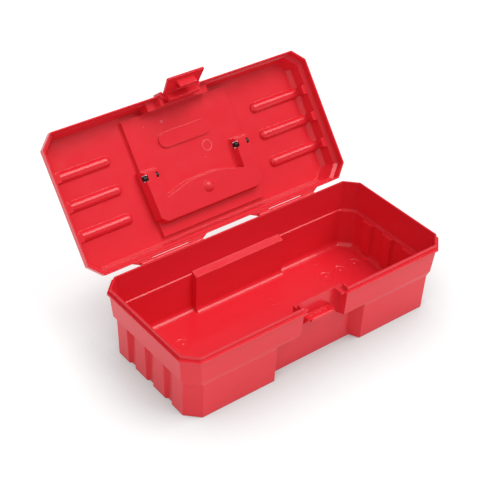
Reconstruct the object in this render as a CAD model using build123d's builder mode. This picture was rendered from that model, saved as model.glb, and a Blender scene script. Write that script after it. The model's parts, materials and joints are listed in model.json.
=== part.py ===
"""Small moulded toolbox: open tub, hinged lid, snap latch and a drop-in carry handle.

The frame: X along the box, Y from the front to the hinge side, Z up, and the origin on the
surface it stands on, under the middle of the tub. The lid, the latch and the handle are drawn
as they sit in the shut box and are then swung to their rest places: lid open, latch ajar,
handle hanging.
"""

import os

from build123d import *

# Tub
WALL = 1.8
FLOOR = 2.0
FOOT_X, FOOT_Y = 150.3, 65.8
SHELF_Z = 41.0
BAND_Z = 46.0
BAND_X, BAND_Y = 154.0, 68.4
FLANGE_Z = 73.8
FLANGE_T = 2.0
FLANGE_X, FLANGE_Y = 158.25, 72.3
LIP_Z = 78.3
LIP_X, LIP_Y = 156.0, 69.9
CORNER = 13.2
GROOVES_Y = (-30.0, 0.0, 30.0)
GATES = ((-94.3, 26.0), (89.3, 26.5), (108.7, 26.5), (129.0, 27.0))

# Front recess, latch pocket and catch
RECESS_TOP = 44.4
MOUTH_X, MOUTH_Y = 24.2, -68.5
POCKET_X, POCKET_Y = 20.5, -58.0
SHOULDER_X = 28.3
CATCH_Z, CATCH_Y = 56.6, -68.0

# Lid, with heights above its rim
RIM_Z = 74.1
RIM_X, RIM_Y = 159.16, 71.9
SKIRT_H = 8.0
LID_H = 26.0
STRIP_H = 22.0
STRIP_X = 61.0
PAD_H = 11.0
PIVOT_H = 15.2
RIBS_Y = (-29.2, 0.8, 30.8)

# Hinge
HINGE_Y, HINGE_Z = 75.93, 73.05
HINGE_X = 71.5
BARREL_R, BARREL_L = 2.6, 72.0
LEAF_L = 43.0
PIN_R = 1.2
PIN_PLAY = 0.05
LID_OPEN = 128.36

# Latch and handle
LATCH_Y, LATCH_Z = -70.8, RIM_Z - 1.5
LATCH_L = 26.4
LATCH_AJAR = 27.8
HANDLE_Z = RIM_Z + PIVOT_H
HANDLE_HANG = LID_OPEN - 90

X_AXIS = (1, 0, 0)
hinge_axis = Axis((0, HINGE_Y, HINGE_Z), X_AXIS)


def octagon(z, half_x, half_y, corner):
    """A rectangle with cut corners, at height z."""
    with BuildSketch(Plane.XY.offset(z)) as outline:
        Rectangle(2 * half_x, 2 * half_y)
        chamfer(outline.vertices(), corner)
    return outline.sketch


def shape(z, points, grow=0.0):
    """A polygon at height z, grown or shrunk all round."""
    with BuildSketch(Plane.XY.offset(z)) as outline:
        with BuildLine():
            Polyline(*points, close=True)
        make_face()
        if grow:
            offset(amount=grow, kind=Kind.INTERSECTION)
    return outline.sketch


def stack(levels, mode=Mode.ADD):
    """Straight walls from one octagon to the next."""
    loft([octagon(*level) for level in levels], ruled=True, mode=mode)


def block(x, y, z, mode=Mode.ADD):
    """A box from its low and high limits on each axis."""
    centre = ((x[0] + x[1]) / 2, (y[0] + y[1]) / 2, (z[0] + z[1]) / 2)
    with Locations(centre):
        Box(x[1] - x[0], y[1] - y[0], z[1] - z[0], mode=mode)


def rod(y, z, radius, x, mode=Mode.ADD):
    """A cylinder along X, between two x values."""
    with Locations(((x[0] + x[1]) / 2, y, z)):
        Cylinder(radius, abs(x[1] - x[0]), rotation=(0, 90, 0), mode=mode)


def groove(side, y, low, high, grow, mode=Mode.ADD):
    """A flared upright channel in an end wall of the tub, deeper at its top."""
    sections = []
    for z, face, half, mouth in ((low, 147.6, 3.4, 10.2), (high, 146.4, 4.2, 11.0)):
        back = side * (face - grow)
        front = side * 156
        half += grow
        mouth += grow
        points = [(back, y - half), (back, y + half), (front, y + mouth), (front, y - mouth)]
        sections.append(shape(z, points))
    loft(sections, ruled=True, mode=mode)


def front_recess(low, high, grow, mode=Mode.ADD):
    """The tapered finger recess under the latch."""
    sections = []
    for z, back in ((low, -55.2), (high, -57.6)):
        inner = 48.5 + 1.15 * grow
        outer = 58.0 + 1.15 * grow
        points = [(-inner, back + grow), (inner, back + grow), (outer, -74), (-outer, -74)]
        sections.append(shape(z, points))
    loft(sections, ruled=True, mode=mode)


def pad_points():
    """The U-shaped outline of the handle's recess, seen from inside the lid."""
    right = [(16, 17), (47.5, 24.8), (48.3, -5.8), (63.8, -5.8), (62.6, 42), (57, 47)]
    left = [(-x, y) for x, y in reversed(right)]
    return right + left


def rib(side, y, radius, mode=Mode.ADD):
    """A round channel across a side panel of the lid, with a round inner end."""
    rod(y, RIM_Z + 25.5, radius, (side * 92, side * 162), mode)
    with Locations((side * 92, y, RIM_Z + 25.5)):
        Sphere(radius, mode=mode)


def lid_groove(side, y, face, half, low, mode=Mode.ADD):
    """The upright channel that carries a rib down the lid's end wall."""
    mouth = half + 1.8
    back = side * face
    front = side * 161
    points = [(back, y - half), (back, y + half), (front, y + mouth), (front, y - mouth)]
    with BuildSketch(Plane.XY.offset(RIM_Z + low)) as outline:
        with BuildLine():
            Polyline(*points, close=True)
        make_face()
    extrude(outline.sketch, 26, mode=mode)


# ---------------------------------------------------------------- the space inside the tub
with BuildPart() as tub_space:
    stack([(FLOOR, FOOT_X - 1.9, FOOT_Y - 1.9, 12.3), (BAND_Z - 1, 149.0, 65.4, 12.3)])
    fillet(tub_space.edges().group_by(Axis.Z)[1], 7.0)
    fillet(tub_space.edges().group_by(Axis.Z)[0], 6.5)
    stack([(BAND_Z - 1, 149.0, 65.4, 12.3), (BAND_Z, 152.2, 66.6, 12.3), (80, 154.4, 68.4, 12.4)])
    for end in (-1, 1):
        for groove_y in GROOVES_Y:
            groove(end, groove_y, -1, 45.4, WALL, Mode.SUBTRACT)
    with BuildSketch(Plane.YZ.offset(-54.8)) as back_swell:
        with BuildLine():
            Polyline((59.0, 8.0), (59.0, BAND_Z - 1.2), (66.7, BAND_Z + 1.8), (80, BAND_Z + 1.8),
                     (80, -1), (53.0, -1), (53.0, FLOOR))
            ThreePointArc((53.0, FLOOR), (57.24, 3.76), (59.0, 8.0))
        make_face()
    extrude(back_swell.sketch, 109.6, mode=Mode.SUBTRACT)
    front_recess(-1, BAND_Z + 0.2, WALL, Mode.SUBTRACT)
    block((-SHOULDER_X, SHOULDER_X), (-80, POCKET_Y + WALL), (40, FLANGE_Z), Mode.SUBTRACT)
    block((-SHOULDER_X, SHOULDER_X), (-80, -62.0), (40, 90), Mode.SUBTRACT)

# ---------------------------------------------------------------- tub
with BuildPart() as base:
    stack([(0, FOOT_X, FOOT_Y, CORNER), (SHELF_Z + 1, 150.9, 67.2, CORNER)])
    fillet(base.edges().group_by(Axis.Z)[1], 1.6)
    fillet(base.edges().group_by(Axis.Z)[0], 1.0)
    stack([(SHELF_Z, 150.9, 67.2, CORNER), (BAND_Z, BAND_X, BAND_Y, CORNER),
           (FLANGE_Z - FLANGE_T + 0.1, 156.2, 70.2, 13.4)])
    stack([(FLANGE_Z - FLANGE_T, FLANGE_X, FLANGE_Y, 14.5), (FLANGE_Z, FLANGE_X, FLANGE_Y, 14.5)])
    stack([(FLANGE_Z - 0.1, LIP_X, LIP_Y + 0.1, 13.3), (LIP_Z, LIP_X - 0.1, LIP_Y, 13.3)])
    add(tub_space.part, mode=Mode.SUBTRACT)
    # End wall grooves and the shallow recess in the back
    for end in (-1, 1):
        for groove_y in GROOVES_Y:
            groove(end, groove_y, -1, 43.4, 0, Mode.SUBTRACT)
    block((-53, 53), (60.8, 80), (-1, 43.0), Mode.SUBTRACT)
    # Finger recess, latch pocket, its wider mouth and the cored shoulders
    front_recess(-1, RECESS_TOP, 0, Mode.SUBTRACT)
    block((-POCKET_X, POCKET_X), (-80, POCKET_Y), (40, 90), Mode.SUBTRACT)
    block((-MOUTH_X, MOUTH_X), (-80, MOUTH_Y), (40, 90), Mode.SUBTRACT)
    block((-26.6, 26.6), (-80, -55), (FLANGE_Z, 90), Mode.SUBTRACT)
    under_flange = (40, FLANGE_Z - FLANGE_T)
    block((WALL - SHOULDER_X, SHOULDER_X - WALL), (-80, POCKET_Y), under_flange, Mode.SUBTRACT)
    # Webs that carry the pocket's side walls down the back of the finger recess
    for end in (-1, 1):
        with BuildSketch(Plane.YZ.offset(end * (SHOULDER_X - WALL / 2) - WALL / 2)) as web:
            with BuildLine():
                Polyline((-57, 40.2), (-68.2, RECESS_TOP + 0.2), (-57, RECESS_TOP + 0.2), close=True)
            make_face()
        extrude(web.sketch, WALL)
    # Catch: a shelf with a raised front bead, carried by two gussets
    with BuildSketch(Plane.XY.offset(CATCH_Z - 2.2)) as shelf:
        with BuildLine():
            Polyline((-17, POCKET_Y + 0.6), (-13.7, CATCH_Y), (13.7, CATCH_Y), (17, POCKET_Y + 0.6),
                     close=True)
        make_face()
    extrude(shelf.sketch, 2.2)
    rod(CATCH_Y + 1.6, CATCH_Z - 0.5, 0.95, (-11, 11))
    block((-11.2, 11.2), (-65.6, -60.8), (CATCH_Z - 0.9, CATCH_Z + 0.5), Mode.SUBTRACT)
    with Locations((-5, -62, CATCH_Z - 0.5), (5, -62, CATCH_Z - 0.5)):
        Cylinder(0.9, 1.0)
    for end in (-1, 1):
        with BuildSketch(Plane.YZ.offset(end * 14.6 - 0.9)) as gusset:
            with BuildLine():
                Polyline((POCKET_Y + 0.6, 45.5), (-64.8, CATCH_Z - 2.2), (-64.8, CATCH_Z - 0.2),
                         (POCKET_Y + 0.6, CATCH_Z - 0.2), close=True)
            make_face()
        extrude(gusset.sketch, 1.8)
    # Shallow wells round the moulding gates in the floor
    with Locations(*[(x, y, FLOOR - 0.25) for x, y in GATES]):
        Cone(6.7, 7.5, 0.5, mode=Mode.SUBTRACT)
    # One barrel and its web on each side of the back
    for side in (-1, 1):
        span = sorted((side * (HINGE_X - LEAF_L / 2 + 0.4), side * (HINGE_X + LEAF_L / 2 - 0.4)))
        rod(HINGE_Y, HINGE_Z, BARREL_R, span)
        block(span, (70.4, HINGE_Y), (HINGE_Z - BARREL_R, HINGE_Z), Mode.ADD)
        rod(HINGE_Y, HINGE_Z, PIN_R + PIN_PLAY, (span[0] - 1, span[1] + 1), Mode.SUBTRACT)

# ---------------------------------------------------------------- the space inside the lid
with BuildPart() as lid_space:
    stack([(RIM_Z - 1, 157.65, 70.65, 12.6), (RIM_Z + SKIRT_H, 157.3, 70.2, 12.6)])
    stack([(RIM_Z + SKIRT_H, 157.3, 70.2, 12.6), (RIM_Z + 9.6, 153.4, 68.0, 12.4),
           (RIM_Z + 20, 150.0, 65.8, 11.6), (RIM_Z + LID_H - 1.9, 146.0, 64.9, 10.2)])
    block((-62.8, 62.8), (-60.5, 60.5), (RIM_Z + STRIP_H - 2, RIM_Z + 40), Mode.SUBTRACT)
    # Handle recess, seen as a raised pad, with its dimple
    loft([shape(RIM_Z + PAD_H, pad_points()), shape(RIM_Z + 22, pad_points(), 2.4)],
         ruled=True, mode=Mode.SUBTRACT)
    with Locations((0, 29, RIM_Z + 16.5)):
        Sphere(8.5, mode=Mode.SUBTRACT)
    # Ribs and the grooves that carry them down the end walls
    for end in (-1, 1):
        for rib_y in RIBS_Y:
            rib(end, rib_y, 6.0, Mode.SUBTRACT)
            lid_groove(end, rib_y, 148.4, 4.4, 9.6, Mode.SUBTRACT)
    # Label field
    with BuildSketch(Plane.XY.offset(RIM_Z + 18.2)) as label_field:
        with Locations((0, -29.3)):
            SlotOverall(62, 16)
    extrude(label_field.sketch, 10, mode=Mode.SUBTRACT)
    # Front recess above the skirt, and the latch bay through it
    block((-36.5, 36.5), (-90, -60.2), (RIM_Z + SKIRT_H - 0.4, RIM_Z + 40), Mode.SUBTRACT)
    block((-24.6, 24.6), (-90, -61.0), (RIM_Z - 2, RIM_Z + 20), Mode.SUBTRACT)

# ---------------------------------------------------------------- lid
with BuildPart() as lid:
    stack([(RIM_Z, RIM_X, RIM_Y, 13.25), (RIM_Z + SKIRT_H, RIM_X - 0.3, RIM_Y - 0.3, 13.25)])
    stack([(RIM_Z + SKIRT_H - 0.1, RIM_X - 0.3, RIM_Y - 0.3, 13.25), (RIM_Z + 9.6, 155.3, 69.8, 13.2),
           (RIM_Z + 20.6, 151.9, 67.6, 12.4), (RIM_Z + LID_H, 147.6, 66.5, 10.9)])
    add(lid_space.part, mode=Mode.SUBTRACT)
    block((-STRIP_X, STRIP_X), (-58.8, 58.8), (RIM_Z + STRIP_H, RIM_Z + 40), Mode.SUBTRACT)
    # Handle recess and its dimple
    loft([shape(RIM_Z + PAD_H + WALL, pad_points(), -1.5), shape(RIM_Z + 27, pad_points(), 1.6)],
         ruled=True, mode=Mode.SUBTRACT)
    with Locations((0, 29, RIM_Z + 16.5)):
        Sphere(8.5 - WALL, mode=Mode.SUBTRACT)
    for end in (-1, 1):
        for rib_y in RIBS_Y:
            rib(end, rib_y, 6.0 - WALL, Mode.SUBTRACT)
            lid_groove(end, rib_y, 150.2, 2.8, 10.6, Mode.SUBTRACT)
    with BuildSketch(Plane.XY.offset(RIM_Z + 20.0)) as label_recess:
        with Locations((0, -29.3)):
            SlotOverall(58.4, 12.4)
    extrude(label_recess.sketch, 10, mode=Mode.SUBTRACT)
    block((-34.7, 34.7), (-90, -62.0), (RIM_Z + SKIRT_H + 1.4, RIM_Z + 40), Mode.SUBTRACT)
    block((-20.6, 20.6), (-90, -62.8), (RIM_Z - 5, RIM_Z + SKIRT_H - 0.4), Mode.SUBTRACT)
    # Pivot windows through the four side walls of the recess arms
    for end in (-1, 1):
        for face in ((46.0, 51.4), (60.6, 67.0)):
            span = sorted((end * face[0], end * face[1]))
            block(span, (-3.0, 3.0), (RIM_Z + PAD_H - 1, RIM_Z + PIVOT_H + 3.0), Mode.SUBTRACT)
    # Latch lugs, reaching down in front of the rim
    for end in (-1, 1):
        lug = sorted((end * 20.6, end * 23.9))
        block(lug, (-74.2, -68.9), (RIM_Z - 4.0, RIM_Z + 1))
        block(lug, (-74.2, -62.0), (RIM_Z, RIM_Z + SKIRT_H + 1.4))
        hole = sorted((end * 20, end * 23.3))
        rod(LATCH_Y, LATCH_Z, 1.35, hole, Mode.SUBTRACT)
    # Hinge leaves and their end barrels
    for side in (-1, 1):
        leaf = [(side * 27.5, 70.9), (side * 115.5, 70.9), (side * 115.5, 71.9),
                (side * 107.5, HINGE_Y), (side * 35.5, HINGE_Y), (side * 27.5, 71.9)]
        extrude(shape(RIM_Z, leaf), 1.55)
        for shift in (-1, 1):
            near = side * HINGE_X + shift * LEAF_L / 2
            far = side * HINGE_X + shift * BARREL_L / 2
            rod(HINGE_Y, HINGE_Z, BARREL_R, (near, far))
        middle = sorted((side * (HINGE_X - LEAF_L / 2), side * (HINGE_X + LEAF_L / 2)))
        block(middle, (73.0, 80), (60, 80), Mode.SUBTRACT)
        bore = (side * HINGE_X - 40, side * HINGE_X + 40)
        rod(HINGE_Y, HINGE_Z, PIN_R + PIN_PLAY, bore, Mode.SUBTRACT)
lid.part = lid.part.rotate(hinge_axis, -LID_OPEN)

# ---------------------------------------------------------------- latch
with BuildPart() as latch:
    tip = LATCH_Z - LATCH_L
    with BuildSketch(Plane.XZ.offset(68.75)) as plate:
        with BuildLine():
            Polyline((-22.0, tip), (22.0, tip), (20.3, LATCH_Z), (-20.3, LATCH_Z), close=True)
        make_face()
    extrude(plate.sketch, 2.0)
    fillet(latch.edges().filter_by(Axis.Y), 1.2)
    rod(LATCH_Y, LATCH_Z, 1.9, (-20.3, 20.3))
    rod(LATCH_Y, LATCH_Z, 1.25, (-23.0, 23.0))
    # Pivot block, the hook that goes under the catch and the rib that lies over it
    block((-18.2, 18.2), (-69.5, -61.2), (tip + 22.4, LATCH_Z + 0.3))
    block((-10.1, 10.1), (-69.5, -60.9), (tip + 5.5, tip + 7.6))
    block((-10.1, 10.1), (-69.5, -64.0), (tip + 12.4, tip + 14.2))
latch.part = latch.part.rotate(Axis((0, LATCH_Y, LATCH_Z), X_AXIS), -LATCH_AJAR)
latch.part = latch.part.rotate(hinge_axis, -LID_OPEN)

# ---------------------------------------------------------------- carry handle
with BuildPart() as handle:
    with BuildSketch(Plane.XY.offset(HANDLE_Z - 1.9)) as grip:
        with Locations((0, 38.6)):
            Rectangle(121.4, 11.2)
        fillet(grip.vertices().group_by(Axis.Y)[-1], 6.0)
    extrude(grip.sketch, 8.1)
    fillet(handle.edges().filter_by(Axis.X).group_by(Axis.Y)[-1], 3.0)
    # Arms taper from the pivots to the grip
    for end in (-1, 1):
        with BuildSketch(Plane.YZ.offset(end * 56.2 - 4.5)) as arm:
            with BuildLine():
                Polyline((0, HANDLE_Z - 1.9), (35, HANDLE_Z - 1.9), (35, HANDLE_Z + 5.4),
                         (0, HANDLE_Z + 1.9), close=True)
            make_face()
            with Locations((0, HANDLE_Z)):
                Circle(2.3)
        extrude(arm.sketch, 9.0)
        rod(0, HANDLE_Z, 2.3, sorted((end * 48.9, end * 63.3)))
        rod(0, HANDLE_Z, 2.9, sorted((end * 48.9, end * 51.2)))
        rod(0, HANDLE_Z, 2.9, sorted((end * 60.8, end * 63.3)))
handle.part = handle.part.rotate(Axis((0, 0, HANDLE_Z), X_AXIS), HANDLE_HANG)
handle.part = handle.part.rotate(hinge_axis, -LID_OPEN)

# ---------------------------------------------------------------- hinge pins
with BuildPart() as hinge_pin_left:
    rod(HINGE_Y, HINGE_Z, PIN_R, (-HINGE_X - 35.6, -HINGE_X + 35.6))

with BuildPart() as hinge_pin_right:
    rod(HINGE_Y, HINGE_Z, PIN_R, (HINGE_X - 35.6, HINGE_X + 35.6))

base.part.label = "base"
lid.part.label = "lid"
latch.part.label = "latch"
handle.part.label = "handle"
hinge_pin_left.part.label = "hinge_pin_left"
hinge_pin_right.part.label = "hinge_pin_right"

os.makedirs("parts", exist_ok=True)
export_step(base.part, "parts/base.step")
export_step(lid.part, "parts/lid.step")
export_step(latch.part, "parts/latch.step")
export_step(handle.part, "parts/handle.step")
export_step(hinge_pin_left.part, "parts/hinge_pin_left.step")
export_step(hinge_pin_right.part, "parts/hinge_pin_right.step")
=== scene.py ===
# %% [markdown]
# # A small moulded toolbox
# The real object is a few large plastic mouldings: an open tub, a hinged lid, a snap latch and a
# black carry handle let into the lid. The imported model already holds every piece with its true
# shape, so this lesson gives the pieces their finish, adds the small marks that the mould leaves,
# and sets up a white studio round them.

# %% Load the fixed frame
import json
import math

import bpy
from mathutils import Matrix, Vector


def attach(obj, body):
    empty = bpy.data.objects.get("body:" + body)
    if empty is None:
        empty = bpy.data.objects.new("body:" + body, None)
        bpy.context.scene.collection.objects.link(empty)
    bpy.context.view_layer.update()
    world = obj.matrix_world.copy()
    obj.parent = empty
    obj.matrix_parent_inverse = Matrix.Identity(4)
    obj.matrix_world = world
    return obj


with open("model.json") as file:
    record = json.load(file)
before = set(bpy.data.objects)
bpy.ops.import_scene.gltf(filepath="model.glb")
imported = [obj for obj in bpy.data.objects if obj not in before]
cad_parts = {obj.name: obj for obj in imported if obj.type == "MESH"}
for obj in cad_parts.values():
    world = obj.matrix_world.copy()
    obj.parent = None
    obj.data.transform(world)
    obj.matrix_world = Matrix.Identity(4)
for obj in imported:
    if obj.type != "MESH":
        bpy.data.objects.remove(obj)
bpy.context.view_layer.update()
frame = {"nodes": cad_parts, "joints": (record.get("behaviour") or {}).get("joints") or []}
nodes = frame["nodes"]
print("nodes:", sorted(nodes))

# %% [markdown]
# ## Units, colours and nodes
# Blender works in metres, and the object is measured in millimetres. Colours are written as sRGB
# hex values, as in a paint program, and one function turns them to the linear values that the
# renderer works in. Another small function adds a node, sets it up and links it, and serves both
# materials and Geometry Nodes.

# %% Helpers
MM = 0.001


def paint(code):
    """An sRGB hex colour as linear red, green, blue and alpha."""
    parts = [int(code[i : i + 2], 16) / 255 for i in (1, 3, 5)]
    linear = [c / 12.92 if c <= 0.04045 else ((c + 0.055) / 1.055) ** 2.4 for c in parts]
    return (*linear, 1.0)


def add(tree, kind, inputs=None, **settings):
    """Adds a node. An input is a value, or the output socket that feeds it."""
    made = tree.nodes.new(kind)
    for name, value in settings.items():
        setattr(made, name, value)
    for name, value in (inputs or {}).items():
        if isinstance(value, bpy.types.NodeSocket):
            tree.links.new(value, made.inputs[name])
        else:
            made.inputs[name].default_value = value
    return made


print("a mid red is", [round(v, 3) for v in paint("#C02030")])

# %% [markdown]
# ## Camera
# The box is seen from its front left corner, from above. The camera's place is in millimetres and
# its turns are in degrees. It could be aimed with a Track To constraint, but three plain turns
# also give the slight roll of a hand-set tripod, and leave nothing for later steps to undo.

# %% Camera
CAMERA_PLACE = (-613.3, -709.4, 786.6)
AZIMUTH, ELEVATION, ROLL = -38.52, 36.18, 1.98
LENS, SENSOR = 91.71, 36


def make_camera():
    data = bpy.data.cameras.new("camera")
    data.lens = LENS
    data.sensor_width = SENSOR
    camera = bpy.data.objects.new("camera", data)
    bpy.context.scene.collection.objects.link(camera)
    turn = Matrix.Rotation(math.radians(AZIMUTH), 4, "Z")
    turn = turn @ Matrix.Rotation(math.radians(90 - ELEVATION), 4, "X")
    turn = turn @ Matrix.Rotation(math.radians(ROLL), 4, "Z")
    camera.matrix_world = Matrix.Translation(Vector(CAMERA_PLACE) * MM) @ turn
    bpy.context.scene.camera = camera
    return camera


camera = make_camera()
print("camera at", [round(v, 3) for v in camera.location], "with a lens of", LENS, "mm")

# %% [markdown]
# ## Studio
# A catalogue picture of glossy plastic is taken on a sheet of back-lit opal acrylic, under very
# soft light, so that the plastic shows pale reflections and a faint neutral shadow where it
# stands. Area lamps would fall off with distance and leave the table uneven. A white world
# stands for the room's fill light, and suns with a wide disc for the softboxes: a strong one
# high on the front right that lights the inside of the lid, a weak one straight overhead that
# draws the thin highlights along the edges, and another on the left that opens up the far end of
# the tub. The sheet glows evenly by itself. The shadow round the box is partly cast by the lamps on
# the sheet's dull surface and partly painted: the Ambient Occlusion node darkens the glow near it.

# %% World, lamps and floor
WORLD_LIGHT = 0.34
SHEET_GLOW = 0.86
SHEET_HALF = 12
SHADOW_REACH = 100 * MM
# Each softbox: its azimuth, its elevation and the width of its disc in degrees, and its strength
SOFTBOXES = {
    "right_softbox": (48, 60, 36, 1.7),
    "overhead_softbox": (0, 88, 50, 0.4),
    "left_softbox": (-60, 45, 60, 0.5),
}


def make_world():
    world = bpy.data.worlds.new("white_room")
    world.use_nodes = True
    background = world.node_tree.nodes["Background"]
    background.inputs["Color"].default_value = paint("#FFFFFF")
    background.inputs["Strength"].default_value = WORLD_LIGHT
    bpy.context.scene.world = world


def softbox(name, azimuth, elevation, disc, strength):
    """A sun whose disc is as wide as a softbox looks from the table, in degrees."""
    data = bpy.data.lights.new(name, "SUN")
    data.angle = math.radians(disc)
    data.energy = strength
    lamp = bpy.data.objects.new(name, data)
    bpy.context.scene.collection.objects.link(lamp)
    around = Matrix.Rotation(math.radians(azimuth), 4, "Z")
    lamp.matrix_world = around @ Matrix.Rotation(math.radians(90 - elevation), 4, "X")


def opal_floor_with_painted_shadow():
    """Opal acrylic, a dull white sheet that glows evenly, with a painted shadow: its glow is
    darkened beside what stands on it.
    """
    material = bpy.data.materials.new("opal_floor_with_painted_shadow")
    material.use_nodes = True
    tree = material.node_tree
    shader = tree.nodes["Principled BSDF"]
    shader.inputs["Base Color"].default_value = paint("#8C8C8C")
    shader.inputs["Roughness"].default_value = 0.9
    shader.inputs["Emission Strength"].default_value = SHEET_GLOW
    # Painted shadow: the Ambient Occlusion node darkens the sheet's glow close to the box
    painted_shadow = add(tree, "ShaderNodeAmbientOcclusion", {"Distance": SHADOW_REACH}, samples=16)
    tree.links.new(painted_shadow.outputs["Color"], shader.inputs["Emission Color"])
    return material


def make_floor():
    """A plain pale floor, wide enough that its edge is never seen."""
    mesh = bpy.data.meshes.new("floor")
    corners = [(SHEET_HALF * x, SHEET_HALF * y, 0) for x, y in ((-1, -1), (1, -1), (1, 1), (-1, 1))]
    mesh.from_pydata(corners, [], [(0, 1, 2, 3)])
    mesh.materials.append(opal_floor_with_painted_shadow())
    floor = bpy.data.objects.new("floor", mesh)
    bpy.context.scene.collection.objects.link(floor)


make_world()
for name, setting in SOFTBOXES.items():
    softbox(name, *setting)
make_floor()
bpy.context.scene.view_settings.view_transform = "Standard"

# %% [markdown]
# ## Moulded polypropylene
# Cheap toolboxes are injection moulded in polypropylene from a polished tool. The plastic is
# glossy and strongly coloured. Its index of refraction is near 1.5. A little less than that, and a
# specular level a little under the usual 0.5, make it reflect about a thirtieth of the white
# studio, and more where it is seen at a low angle, so that it looks pinker there. Four things keep
# it from looking like a flat colour:
#
# - every edge of a moulding is rounded by half a millimetre or so, and catches the light;
# - large thin walls are never quite flat, because the plastic sinks a little as it cools;
# - a fine orange peel follows the polish of the tool;
# - the colour and the gloss drift slightly along the way the plastic flowed.
#
# The edge rounding is far finer than the model's facets, so the Bevel node rounds the shading, and
# the edges are also painted paler as a painted highlight.

# %% A polypropylene material
PLASTIC_IOR, PLASTIC_SPECULAR = 1.47, 0.42
EDGE_RADIUS = 0.65 * MM
# Painted edge highlight: where it starts, where it is full, and how far it pales the colour
HIGHLIGHT_STARTS, HIGHLIGHT_FULL, HIGHLIGHT_SHARE = 0.99, 0.80, 0.5
PEEL_LENGTH, PEEL_HEIGHT = 5.0 * MM, 0.010 * MM
SINK_LENGTH, SINK_HEIGHT = 55.0 * MM, 0.14 * MM
FLOW_LENGTH, FLOW_STRETCH = 42.0 * MM, 0.35
HANDLING_LENGTH = 14.0 * MM


def moulded_polypropylene(name, body, edge_highlight, gloss):
    """Polypropylene between two body colours, paler on its edges as a painted highlight, over a
    range of roughness.
    """
    material = bpy.data.materials.new(name)
    material.use_nodes = True
    tree = material.node_tree
    shader = tree.nodes["Principled BSDF"]
    shader.inputs["IOR"].default_value = PLASTIC_IOR
    shader.inputs["Specular IOR Level"].default_value = PLASTIC_SPECULAR
    place = add(tree, "ShaderNodeTexCoord").outputs["Object"]

    # Edges: the rounded normal, and how far it has turned from the face's own; where it turns, the
    # colour is painted paler as a highlight
    rounded = add(tree, "ShaderNodeBevel", {"Radius": EDGE_RADIUS}, samples=6).outputs["Normal"]
    face = add(tree, "ShaderNodeNewGeometry").outputs["Normal"]
    likeness = add(tree, "ShaderNodeVectorMath", {0: rounded, 1: face}, operation="DOT_PRODUCT")
    highlight_mask = add(tree, "ShaderNodeMapRange", {"Value": likeness.outputs["Value"],
                                            "From Min": HIGHLIGHT_STARTS, "From Max": HIGHLIGHT_FULL,
                                            "To Max": HIGHLIGHT_SHARE})

    # Colour: slow flow marks, stretched along the length of the moulding
    along = add(tree, "ShaderNodeMapping", {"Vector": place, "Scale": (FLOW_STRETCH, 1.0, 1.0)})
    flow = add(tree, "ShaderNodeTexNoise", {"Vector": along.outputs["Vector"],
                                            "Scale": 1 / FLOW_LENGTH, "Detail": 3.0})
    tint = add(tree, "ShaderNodeMix", {"Factor": flow.outputs["Fac"], "A": paint(body[0]),
                                       "B": paint(body[1])}, data_type="RGBA")
    # Painted highlight: the colour turns paler along the rounded edges
    colour = add(tree, "ShaderNodeMix", {"Factor": highlight_mask.outputs["Result"], "B": paint(edge_highlight),
                                         "A": tint.outputs["Result"]}, data_type="RGBA")
    tree.links.new(colour.outputs["Result"], shader.inputs["Base Color"])

    # Gloss: hands and tools dull it in patches
    dulled = add(tree, "ShaderNodeTexNoise", {"Vector": place, "Scale": 1 / HANDLING_LENGTH,
                                              "Detail": 5.0, "Roughness": 0.6})
    rough = add(tree, "ShaderNodeMapRange", {"Value": dulled.outputs["Fac"],
                                             "From Min": 0.3, "From Max": 0.7,
                                             "To Min": gloss[0], "To Max": gloss[1]})
    tree.links.new(rough.outputs["Result"], shader.inputs["Roughness"])

    # Surface: sunken panels under a fine orange peel, over the rounded edges
    sink = add(tree, "ShaderNodeTexNoise", {"Vector": place, "Scale": 1 / SINK_LENGTH,
                                            "Detail": 1.0})
    panels = add(tree, "ShaderNodeBump", {"Height": sink.outputs["Fac"], "Distance": SINK_HEIGHT,
                                          "Normal": rounded})
    peel = add(tree, "ShaderNodeTexNoise", {"Vector": place, "Scale": 1 / PEEL_LENGTH,
                                            "Detail": 2.0})
    skin = add(tree, "ShaderNodeBump", {"Height": peel.outputs["Fac"], "Distance": PEEL_HEIGHT,
                                        "Normal": panels.outputs["Normal"]})
    tree.links.new(skin.outputs["Normal"], shader.inputs["Normal"])
    return material


# %% [markdown]
# The box and the latch are red. Where a pin or a twisted sprue stressed the red plastic it turns
# paler, and that is a finish of its own. The handle is black and a little duller than the box.

# %% Three polypropylenes: two body colours, the colour of the painted edge highlight and the range of roughness
POLYPROPYLENES = {
    "moulded_polypropylene_red": (("#E02430", "#EA2A38"), "#FF5560", (0.16, 0.27)),
    "stress_whitened_polypropylene": (("#F25A66", "#F66E78"), "#FF9AA2", (0.2, 0.3)),
    "moulded_polypropylene_black": (("#111113", "#18181A"), "#3A3A3E", (0.24, 0.38)),
}
red_plastic, pale_plastic, black_plastic = [
    moulded_polypropylene(name, *finish) for name, finish in POLYPROPYLENES.items()
]
print("made", red_plastic.name, pale_plastic.name, black_plastic.name)

# %% [markdown]
# ## Drawn steel
# The hinge pins are cut from drawn wire. The die leaves fine lines along the wire, so the
# highlight runs along it in streaks. A noise squeezed round the wire and stretched along it
# gives the lines; they are drawn a third of a millimetre apart, coarser than real ones, so that
# they show.

# %% Drawn steel wire
LINE_SPACING, LINE_STRETCH, LINE_DEPTH = 0.35 * MM, 0.02, 0.01 * MM


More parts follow.
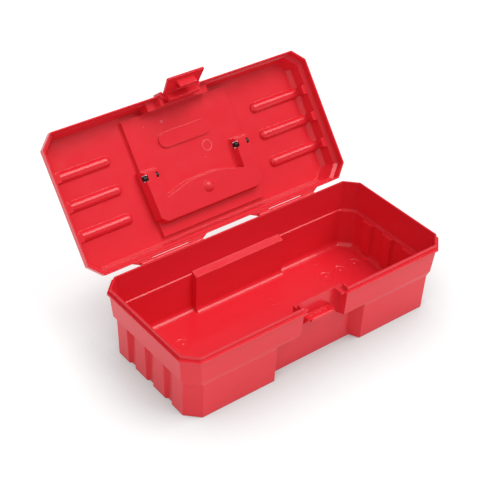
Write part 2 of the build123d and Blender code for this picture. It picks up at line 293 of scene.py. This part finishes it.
def drawn_steel_wire():
    """Bright wire with fine lines along X, which turn its tone, its gloss and its surface."""
    material = bpy.data.materials.new("drawn_steel_wire")
    material.use_nodes = True
    tree = material.node_tree
    shader = tree.nodes["Principled BSDF"]
    shader.inputs["Metallic"].default_value = 1.0
    place = add(tree, "ShaderNodeTexCoord").outputs["Object"]
    along = add(tree, "ShaderNodeMapping", {"Vector": place, "Scale": (LINE_STRETCH, 1.0, 1.0)})
    lines = add(tree, "ShaderNodeTexNoise", {"Vector": along.outputs["Vector"],
                                             "Scale": 1 / LINE_SPACING, "Detail": 3.0})
    tone = add(tree, "ShaderNodeMix", {"Factor": lines.outputs["Fac"], "A": paint("#9A9CA0"),
                                       "B": paint("#D2D3D6")}, data_type="RGBA")
    tree.links.new(tone.outputs["Result"], shader.inputs["Base Color"])
    rough = add(tree, "ShaderNodeMapRange", {"Value": lines.outputs["Fac"], "To Min": 0.18,
                                             "To Max": 0.42})
    tree.links.new(rough.outputs["Result"], shader.inputs["Roughness"])
    scratch = add(tree, "ShaderNodeBump", {"Height": lines.outputs["Fac"], "Distance": LINE_DEPTH})
    tree.links.new(scratch.outputs["Normal"], shader.inputs["Normal"])
    return material


steel = drawn_steel_wire()

# %% [markdown]
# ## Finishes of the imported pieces
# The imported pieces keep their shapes, and only what fills their material slots is changed.

# %% Put the finishes on
finishes = {"handle": black_plastic, "hinge_pin_left": steel, "hinge_pin_right": steel}
for name, node in nodes.items():
    for slot in node.material_slots:
        slot.material = finishes.get(name, red_plastic)
print("finishes:", {name: node.active_material.name for name, node in nodes.items()})

# %% [markdown]
# ## Where the lid is
# Marks on the lid are easiest to place while it is shut: then its inner face is level, and one
# height serves them all. They are then swung open with it. The hinge joint says where the axis is
# and how far the lid turns from shut to the open rest pose.

# %% The swing of the lid
hinge = next(joint for joint in frame["joints"] if joint["name"] == "lid_hinge")
hinge_point = Vector(hinge["pos_m"])
lid_angle = math.radians(-hinge["range_deg"][1])
to_axis = Matrix.Translation(-hinge_point)
opening = Matrix.Translation(hinge_point) @ Matrix.Rotation(lid_angle, 4, "X") @ to_axis
print("the lid is open by", round(-math.degrees(lid_angle), 2), "degrees")

# %% [markdown]
# ## Witness marks
# A moulding carries the marks of its mould: faint rings where the ejector pins pushed it out,
# and a nub in each shallow well where the plastic was injected. They are all the same few shapes
# repeated, so Geometry Nodes make them: a point stands for each mark and holds its radius, and
# one tree turns the points to rings while another turns them to nubs. Each is sunk a little into
# the surface, as it is one with it.

# %% Points that stand for the marks
FLOOR_HEIGHT = 2.0
STRIP_HEIGHT = 94.1


def mark_points(name, marks, height):
    """A mesh with a loose point for each mark, given as x, y and radius in millimetres."""
    mesh = bpy.data.meshes.new(name)
    mesh.from_pydata([Vector((x, y, height)) * MM for x, y, _ in marks], [], [])
    radius = mesh.attributes.new("radius", "FLOAT", "POINT")
    for value, (_, _, size) in zip(radius.data, marks):
        value.value = size * MM
    piece = bpy.data.objects.new(name, mesh)
    bpy.context.scene.collection.objects.link(piece)
    return piece


print("heights of the marked faces in mm:", FLOOR_HEIGHT, STRIP_HEIGHT)

# %% [markdown]
# A tree gets named inputs, so that one tree serves pieces of different sizes. Its result is taken
# as a plain mesh and the modifier is removed, so nothing is left to change later.


# %% An empty tree, and a finished mesh from a tree
def new_tree(name, sizes):
    """An empty Geometry Nodes tree with inputs for its finish and for its sizes in millimetres."""
    tree = bpy.data.node_groups.new(name, "GeometryNodeTree")
    face = tree.interface
    face.new_socket("Geometry", in_out="INPUT", socket_type="NodeSocketGeometry")
    face.new_socket("Geometry", in_out="OUTPUT", socket_type="NodeSocketGeometry")
    for label, size in sizes.items():
        socket = face.new_socket(label, in_out="INPUT", socket_type="NodeSocketFloat")
        socket.default_value = size * MM
    face.new_socket("Finish", in_out="INPUT", socket_type="NodeSocketMaterial")
    return tree


def grow(piece, tree, sizes, finish, place=None):
    """Runs a tree on a piece with these sizes, and leaves the result as its plain mesh."""
    modifier = piece.modifiers.new(tree.name, "NODES")
    modifier.node_group = tree
    values = {name: size * MM for name, size in sizes.items()}
    values["Finish"] = finish
    for item in tree.interface.items_tree:
        if item.in_out == "INPUT" and item.name in values:
            modifier[item.identifier] = values[item.name]
    ready = piece.evaluated_get(bpy.context.evaluated_depsgraph_get())
    mesh = bpy.data.meshes.new_from_object(ready)
    piece.modifiers.remove(modifier)
    piece.data = mesh
    if place is not None:
        mesh.transform(place)
    print(piece.name, len(mesh.polygons), "faces")
    return piece


# %% [markdown]
# ### Ejector rings
# A ring is a circle with the mark's own radius, swept with a small round profile. A torus mesh
# would have a fixed shape; a curve lets the ring and its bead have separate sizes. The circles are
# made real before they are swept, because a scaled instance would scale its bead too.

# %% Ring tree
TUB_RINGS = ((17.0, 26.0, 4.6), (95.0, 51.0, 4.0))
LID_RINGS = ((20.0, -9.9, 5.4), (-20.0, -48.0, 1.2))
TUB_RING_SUNK, LID_RING_SUNK = 0.12, 0.1


def ring_tree():
    tree = new_tree("ejector_rings", {"Bead": 0.3})
    source = add(tree, "NodeGroupInput").outputs
    radius = add(tree, "GeometryNodeInputNamedAttribute", {"Name": "radius"}, data_type="FLOAT")
    circle = add(tree, "GeometryNodeCurvePrimitiveCircle", {"Resolution": 48, "Radius": 1.0})
    rings = add(tree, "GeometryNodeInstanceOnPoints",
                {"Points": source["Geometry"], "Instance": circle.outputs["Curve"],
                 "Scale": radius.outputs["Attribute"]})
    real = add(tree, "GeometryNodeRealizeInstances", {"Geometry": rings.outputs["Instances"]})
    profile = add(tree, "GeometryNodeCurvePrimitiveCircle",
                  {"Resolution": 10, "Radius": source["Bead"]})
    swept = add(tree, "GeometryNodeCurveToMesh", {"Curve": real.outputs["Geometry"],
                                                  "Profile Curve": profile.outputs["Curve"]})
    smooth = add(tree, "GeometryNodeSetShadeSmooth", {"Geometry": swept.outputs["Mesh"]})
    final = add(tree, "GeometryNodeRealizeInstances", {"Geometry": smooth.outputs["Geometry"]})
    done = add(tree, "GeometryNodeSetMaterial", {"Geometry": final.outputs["Geometry"],
                                                 "Material": source["Finish"]})
    add(tree, "NodeGroupOutput", {"Geometry": done.outputs["Geometry"]})
    return tree


rings = ring_tree()
tub_rings = grow(mark_points("tub_ejector_rings", TUB_RINGS, FLOOR_HEIGHT - TUB_RING_SUNK),
                 rings, {"Bead": 0.28}, red_plastic)
lid_rings = grow(mark_points("lid_ejector_rings", LID_RINGS, STRIP_HEIGHT - LID_RING_SUNK),
                 rings, {"Bead": 0.5}, pale_plastic, opening)

# %% [markdown]
# ### Gate nubs
# The sprue is twisted off and leaves a low rounded nub. An ico sphere, squashed and half sunk,
# has even faces, so it needs few of them. The nubs stand in shallow wells, half a millimetre below
# the floor, and the lid has two smaller dots of the same kind.

# %% Nub tree
WELL_DEPTH = 0.5
GATE_NUBS = ((-94.3, 26.0, 1.1), (89.3, 26.5, 1.1), (108.7, 26.5, 1.1), (129.0, 27.0, 1.1))
LID_DOTS = ((-41.0, -48.7, 0.7), (13.5, 0.5, 0.6))


def nub_tree():
    tree = new_tree("gate_nubs", {"Nub height": 0.6})
    source = add(tree, "NodeGroupInput").outputs
    radius = add(tree, "GeometryNodeInputNamedAttribute", {"Name": "radius"}, data_type="FLOAT")
    scale = add(tree, "ShaderNodeCombineXYZ", {"X": radius.outputs["Attribute"],
                                               "Y": radius.outputs["Attribute"],
                                               "Z": source["Nub height"]})
    ball = add(tree, "GeometryNodeMeshIcoSphere", {"Radius": 1.0, "Subdivisions": 3})
    nubs = add(tree, "GeometryNodeInstanceOnPoints",
               {"Points": source["Geometry"], "Instance": ball.outputs["Mesh"],
                "Scale": scale.outputs["Vector"]})
    smooth = add(tree, "GeometryNodeSetShadeSmooth", {"Geometry": nubs.outputs["Instances"]})
    real = add(tree, "GeometryNodeRealizeInstances", {"Geometry": smooth.outputs["Geometry"]})
    done = add(tree, "GeometryNodeSetMaterial", {"Geometry": real.outputs["Geometry"],
                                                 "Material": source["Finish"]})
    add(tree, "NodeGroupOutput", {"Geometry": done.outputs["Geometry"]})
    return tree


nubs = nub_tree()
gate_nubs = grow(mark_points("gate_nubs", GATE_NUBS, FLOOR_HEIGHT - WELL_DEPTH),
                 nubs, {"Nub height": 0.9}, pale_plastic)
lid_nubs = grow(mark_points("lid_nubs", LID_DOTS, STRIP_HEIGHT),
                nubs, {"Nub height": 0.5}, pale_plastic, opening)

# %% [markdown]
# ### Ends of the handle's stubs
# Each arm of the handle turns on two stubs, whose stepped ends fill the windows of the lid. An end
# is two discs with a ball through their middle, so that the ball leaves a low dome on each face.
# It is the same all round its axis, so the hang of the handle need not be known.

# %% Stub tree
PIVOT_HEIGHT = 89.3
STUB_RADIUS, STUB_LENGTH, STUB_STEP = 2.8, 2.4, 0.4
DOME_SHARE = 0.55
STUBS = [(x, 0.0, STUB_RADIUS) for x in (-63.3, -48.9, 48.9, 63.3)]


def stub_tree():
    tree = new_tree("stub_ends", {"Radius": STUB_RADIUS, "Length": STUB_LENGTH, "Step": STUB_STEP})
    source = add(tree, "NodeGroupInput").outputs
    less = add(tree, "ShaderNodeMath", {0: source["Radius"], 1: source["Step"]},
               operation="SUBTRACT")
    more = add(tree, "ShaderNodeMath", {0: source["Length"], 1: source["Step"]}, operation="ADD")
    dome = add(tree, "ShaderNodeMath", {0: more.outputs["Value"], 1: DOME_SHARE},
               operation="MULTIPLY")
    wide = add(tree, "GeometryNodeMeshCylinder",
               {"Vertices": 48, "Radius": source["Radius"], "Depth": source["Length"]})
    narrow = add(tree, "GeometryNodeMeshCylinder",
                 {"Vertices": 48, "Radius": less.outputs["Value"], "Depth": more.outputs["Value"]})
    ball = add(tree, "GeometryNodeMeshIcoSphere",
               {"Radius": dome.outputs["Value"], "Subdivisions": 3})
    joined = add(tree, "GeometryNodeJoinGeometry")
    for part in (wide, narrow, ball):
        tree.links.new(part.outputs["Mesh"], joined.inputs["Geometry"])
    turned = add(tree, "GeometryNodeTransform", {"Geometry": joined.outputs["Geometry"],
                                                 "Rotation": (0, math.pi / 2, 0)})
    ends = add(tree, "GeometryNodeInstanceOnPoints",
               {"Points": source["Geometry"], "Instance": turned.outputs["Geometry"]})
    real = add(tree, "GeometryNodeRealizeInstances", {"Geometry": ends.outputs["Instances"]})
    done = add(tree, "GeometryNodeSetMaterial", {"Geometry": real.outputs["Geometry"],
                                                 "Material": source["Finish"]})
    add(tree, "NodeGroupOutput", {"Geometry": done.outputs["Geometry"]})
    return tree


stub_ends = grow(mark_points("stub_ends", STUBS, PIVOT_HEIGHT), stub_tree(), {}, black_plastic,
                 opening)

# %% [markdown]
# ## Riding on the bodies
# Each piece moves with the moulding it is part of.

# %% Ride
for piece in (tub_rings, gate_nubs):
    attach(piece, "tub")
for piece in (lid_rings, lid_nubs):
    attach(piece, "lid")
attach(stub_ends, "handle")
